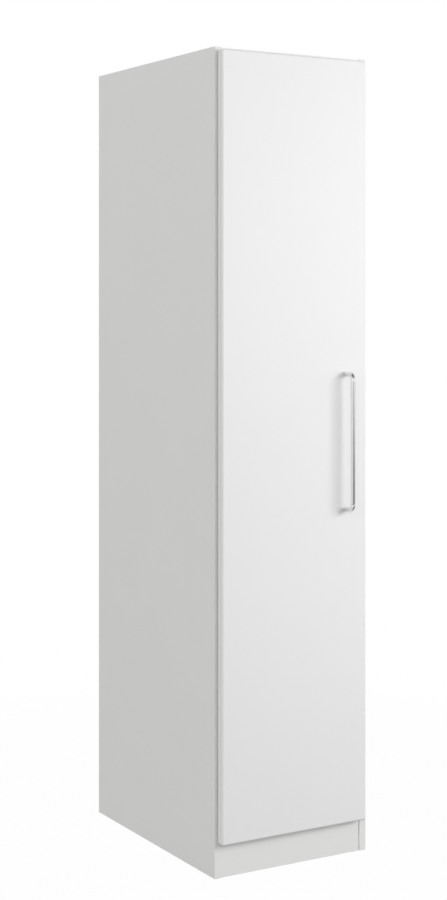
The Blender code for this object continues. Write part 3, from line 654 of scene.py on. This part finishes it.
# Hinge plates, arms and screws
# Three pressed-steel hinges, nickel plated. A winged plate is screwed to the left side, and the cranked
# arm sits over its boss and is held by one screw.
NICKEL_DARK = (0.58, 0.57, 0.545, 1)
NICKEL_LIGHT = (0.70, 0.69, 0.66, 1)
HINGE_ARRIS = 0.0003
SCREW_ARRIS = 0.0002


def nickel():
    """Warm silvery plating with a satin sheen."""
    made = Finish("nickel", Metallic=1.0)
    made.tint(NICKEL_DARK, NICKEL_LIGHT, clouds=160.0)
    made.roughen(least=0.2, spread=0.12, clouds=500.0, detail=3.0)
    return made.material


NICKEL = nickel()
for end in ("upper", "middle", "lower"):
    softened(f"hinge_plate_{end}", HINGE_ARRIS, NICKEL, "carcass", "nickel_plate")
    softened(f"hinge_arm_{end}", HINGE_ARRIS, NICKEL, "carcass", "nickel_plate")
    softened(f"arm_screw_{end}", SCREW_ARRIS, ZINC, "carcass", "zinc_plate")
    for place in ("over", "under"):
        softened(f"plate_screw_{end}_{place}", SCREW_ARRIS, ZINC, "carcass", "zinc_plate")

# Hinge cups and pins
# The other half of each hinge: a pressed cup let into a bore in the back of the door, with a winged flange
# and two pegs, and the pin that the arm turns on.
for end in ("upper", "middle", "lower"):
    softened(f"hinge_cup_{end}", HINGE_ARRIS, NICKEL, "door", "nickel_plate")
    finish_node(f"hinge_pin_{end}", NICKEL)

# Door
# One slab of fibre board wrapped in smooth white foil, its corners and edges rounded, the front edges more
# than the back ones. Its back is bored for the hinge cups and their pegs.
DOOR_WHITE = (0.84, 0.84, 0.84, 1)
DOOR_GREY = (0.82, 0.82, 0.82, 1)
DOOR_RIPPLE = 260.0
DOOR_RIPPLE_DEPTH = 0.000006
DOOR_FRONT_ARRIS = 0.005
DOOR_BACK_ARRIS = 0.003
DOOR_CORNER = 0.0055
DOOR_STEPS = 8
CUP_RADIUS = 0.0175
CUP_PEG_OFFSET = 0.0095
CUP_PEG_SPREAD = 0.045
CUP_PEG_RADIUS = 0.004
CUP_PEG_LENGTH = 0.010


def foil():
    """Smooth white foil with the faintest ripple."""
    made = Finish("white_foil")
    made.tint(DOOR_GREY, DOOR_WHITE, clouds=5.0)
    made.roughen(least=0.33, spread=0.05, clouds=30.0)
    made.emboss(made.place.noise(DOOR_RIPPLE, detail=1.0), DOOR_RIPPLE_DEPTH)
    return made.material


FOIL = foil()
door_low, door_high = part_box("door_panel")
half_x = (door_high.x - door_low.x) / 2
half_z = (door_high.z - door_low.z) / 2
# The slab is a rounded rectangle seen from the front, carried back and drawn in at its front and rear faces.
centres, out = corner_ring(half_x, half_z, DOOR_CORNER, DOOR_STEPS)
depth, inset = eased_ends(door_low.y, door_high.y, DOOR_FRONT_ARRIS, DOOR_BACK_ARRIS, DOOR_STEPS)
face = centres + out * (DOOR_CORNER - inset)[:, None, None] + (door_low.x + half_x, door_low.z + half_z)
deep = np.broadcast_to(depth[:, None], face.shape[:2])
slab = solid_of("door_slab", np.stack((face[..., 0], deep, face[..., 1]), -1))
bores = []
for end in ("upper", "middle", "lower"):
    cup_low, cup_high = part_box(f"hinge_cup_{end}")
    middle = (cup_low + cup_high) / 2
    cup_x = cup_low.x + CUP_RADIUS
    cup_depth = door_high.y - cup_low.y + SLACK
    start = (cup_x, cup_low.y - SLACK, middle.z)
    bores.append(plug(CUP_RADIUS + SLACK, cup_depth + SLACK, start, (0, 1, 0), FINE_ROUND))
    for step in (-1, 1):
        peg_z = middle.z + step * CUP_PEG_SPREAD / 2
        start = (cup_x + CUP_PEG_OFFSET, door_high.y - CUP_PEG_LENGTH - SLACK, peg_z)
        bores.append(plug(CUP_PEG_RADIUS + SLACK, CUP_PEG_LENGTH + 2 * SLACK, start, (0, 1, 0)))
dress(cut_away(slab, bores), FOIL, "door", "white_door", "door_panel")

# Handle
# A solid steel bar bent into a D and chromed. It stands on the ends of its two legs, and two screws hold
# them from behind the door.
BAR_BEND = 0.016
BAR_BEND_STEPS = 20
BAR_COLUMNS = 48

bar_low, bar_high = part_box("door_handle")
bar_radius = (bar_high.x - bar_low.x) / 2
bar_x = (bar_low.x + bar_high.x) / 2
grip = bar_low.y + bar_radius
upper = bar_high.z - bar_radius
lower = bar_low.z + bar_radius
# The middle line leaves the upper foot, turns through two quarter circles and comes back to the lower foot.
# Around it runs a circle of the bar's radius, square to the line.
quarter = np.linspace(0, np.pi / 2, BAR_BEND_STEPS + 1)
turn = np.concatenate(([0], quarter, quarter + np.pi / 2, [np.pi]))
path_y = grip + BAR_BEND * (1 - np.sin(turn))
path_y[[0, -1]] = bar_high.y
path_z = np.where(
    np.arange(len(turn)) < len(turn) / 2,
    upper - BAR_BEND * (1 - np.cos(turn)),
    lower + BAR_BEND * (1 + np.cos(turn)),
)
angle = np.linspace(0, 2 * np.pi, BAR_COLUMNS, endpoint=False)
swing = bar_radius * np.sin(angle)
rings = np.stack((
    np.broadcast_to(bar_x + bar_radius * np.cos(angle), (len(turn), BAR_COLUMNS)),
    path_y[:, None] - np.sin(turn)[:, None] * swing,
    path_z[:, None] + np.cos(turn)[:, None] * swing,
), -1)
dress(solid_of("bar_handle", rings), CHROME, "door", "chrome", "door_handle")
for end in ("upper", "lower"):
    softened(f"handle_screw_{end}", SCREW_ARRIS, ZINC, "door", "zinc_plate")

# Floor, light and camera
# A pale floor under the wardrobe, and soft light all round that is weak from overhead and a little stronger
# from the left. A large lamp stands in front on the right, and a weak one beside the camera. The chrome also
# mirrors painted reflections: a glowing dark screen in front of the door, and a dim round of floor there.
WHITE = (1, 1, 1, 1)
FLOOR_SIZE = 60.0
FLOOR_GREY = (0.29, 0.29, 0.29, 1)
FLOOR_ROUGHNESS = 0.9
FLOOR_GLOW = 0.985
FLOOR_MIRRORED = 0.85
FLOOR_FADE = (0.7, 2.2)
FLOOR_FADE_PLACE = (0, 0, 0)
FLOOR_PAINTED_DIM = (0.5, 1.2)
FLOOR_PAINTED_DIM_PLACE = (0.5, -1.1, 0)
AMBIENT = 1.17
AMBIENT_LEFT = 0.29
SKY_FADE = (0.35, 0.75)
SKY_DARK = 0.25
LAMPS = {
    "key": {"watts": 45.0, "size": (1.9, 1.2), "place": (1.68, -2.66, 1.68)},
    "fill": {"watts": 9.0, "size": (1.6, 1.2), "place": (-2.0, -3.5, 1.6)},
}
LAMP_AIM = (0.1, -0.29, 1.0)
SCREEN_FROM = 2.5
SCREEN_LEFT = 1.5
SCREEN_RIGHT = 7.3
SCREEN_TOP = 1.3
# Painted shade of an unlit room, dark at the floor and paler upwards, for the screen the chrome mirrors.
PAINTED_ROOM_SHADE_STOPS = [(0.4, (0.27, 0.27, 0.27, 1)), (0.6, (0.42, 0.42, 0.42, 1)), (0.8, (0.68, 0.68, 0.68, 1))]
CAMERA_PLACE = (-2.154, -3.609, 1.312)
CAMERA_TURN = -30.46
CAMERA_LENS = 67.855
CAMERA_SENSOR = 36.0
CAMERA_SHIFT = (0.0004, -0.1622)


def floor_paper():
    """Pale paper that the camera sees almost white, with what is left of the wardrobe's shadow, and that
    the chrome mirrors white but for a dim round in front of the door, a painted dark reflection."""
    made = Finish("pale_floor", Base_Color=FLOOR_GREY, Roughness=FLOOR_ROUGHNESS)
    place = made.place
    seen = place.node("ShaderNodeLightPath", output="Is Camera Ray")
    mirrored = place.node("ShaderNodeLightPath", output="Is Glossy Ray")
    glow = place.node("ShaderNodeEmission", inputs={"Color": WHITE, "Strength": 1.0})
    lit = Socket(made.tree, made.shader.outputs[0])
    seen_glow = place.distance(FLOOR_FADE_PLACE).smooth(*FLOOR_FADE, FLOOR_GLOW, 1.0)
    # Painted dark reflection: in a round in front of the door, mirrors see the dim lit floor instead of its
    # glow.
    mirrored_glow_and_painted_dim = place.distance(FLOOR_PAINTED_DIM_PLACE).smooth(*FLOOR_PAINTED_DIM, 0.0, FLOOR_MIRRORED)
    share = seen * seen_glow + mirrored * mirrored_glow_and_painted_dim
    made.show(place.node("ShaderNodeMixShader", inputs={0: share, 1: lit, 2: glow}))
    return made.material


def painted_reflection_screen():
    """A sheet seen only in mirrors, glowing dark at the floor and paler upwards: a painted reflection of an
    unlit room's shade.
    """
    made = Finish("painted_dark_reflection")
    rise = made.place.part("Z") * (1 / SCREEN_TOP)
    shade = rise.node("ShaderNodeValToRGB", {"stops": PAINTED_ROOM_SHADE_STOPS}, {0: rise})
    made.show(rise.node("ShaderNodeEmission", inputs={"Color": shade}))
    return made.material


def sheet_of(name, corners, finish):
    """A single flat sheet of the stage, from its corners in order."""
    mesh = bpy.data.meshes.new(name)
    mesh.from_pydata(corners, [], [tuple(range(len(corners)))])
    mesh.materials.append(finish)
    piece = bpy.data.objects.new(name, mesh)
    bpy.context.scene.collection.objects.link(piece)
    return piece


reach = FLOOR_SIZE / 2
corners = [(-reach, -reach, 0), (reach, -reach, 0), (reach, reach, 0), (-reach, reach, 0)]
sheet_of("floor", corners, floor_paper())

behind = np.array((CAMERA_PLACE[0] - bar_x, CAMERA_PLACE[1] - grip, 0))
behind = behind / np.linalg.norm(behind)
sideways = np.array((behind[1], -behind[0], 0))
foot = behind * SCREEN_FROM
corners = [foot - sideways * SCREEN_RIGHT, foot + sideways * SCREEN_LEFT, foot + (0, 0, SCREEN_TOP)]
# Painted reflection: a glowing sheet that only the chrome sees, in place of the shade of a room.
screen = sheet_of("screen", [tuple(corner) for corner in corners], painted_reflection_screen())
screen.visible_camera = False
screen.visible_diffuse = False
screen.visible_shadow = False

world = bpy.data.worlds.new("studio")
bpy.context.scene.world = world
world.use_nodes = True
sky = world.node_tree
looked = Socket(sky, sky.nodes.new("ShaderNodeTexCoord").outputs["Generated"])
seen = looked.node("ShaderNodeLightPath", output="Is Camera Ray")
glossy = looked.node("ShaderNodeLightPath", output="Is Glossy Ray")
mirrored = glossy | looked.node("ShaderNodeLightPath", output="Is Transmission Ray")
dome = looked.part("Z").smooth(*SKY_FADE, 1.0, SKY_DARK)
even = AMBIENT - looked.part("X") * (AMBIENT * AMBIENT_LEFT)
lit = dome * (mirrored * (1 - even) + even)
strength = lit * (1 - seen) + seen
sky.nodes["Background"].inputs["Color"].default_value = WHITE
sky.links.new(strength.output, sky.nodes["Background"].inputs["Strength"])

for name, setting in LAMPS.items():
    light = bpy.data.lights.new(name, "AREA")
    light.energy = setting["watts"]
    light.shape = "RECTANGLE"
    light.size, light.size_y = setting["size"]
    lamp = bpy.data.objects.new(name, light)
    bpy.context.scene.collection.objects.link(lamp)
    lamp.location = setting["place"]
    lamp.visible_glossy = False
    lamp.visible_camera = False
    aim = np.array(LAMP_AIM) - setting["place"]
    lamp.rotation_euler = (math.acos(-aim[2] / np.linalg.norm(aim)), 0, math.atan2(-aim[0], aim[1]))

camera = bpy.data.objects.new("camera", bpy.data.cameras.new("camera"))
bpy.context.scene.collection.objects.link(camera)
camera.location = CAMERA_PLACE
camera.rotation_euler = (math.pi / 2, 0, math.radians(CAMERA_TURN))
camera.data.lens = CAMERA_LENS
camera.data.sensor_width = CAMERA_SENSOR
camera.data.shift_x, camera.data.shift_y = CAMERA_SHIFT
bpy.context.scene.camera = camera
bpy.context.scene.view_settings.view_transform = "Standard"
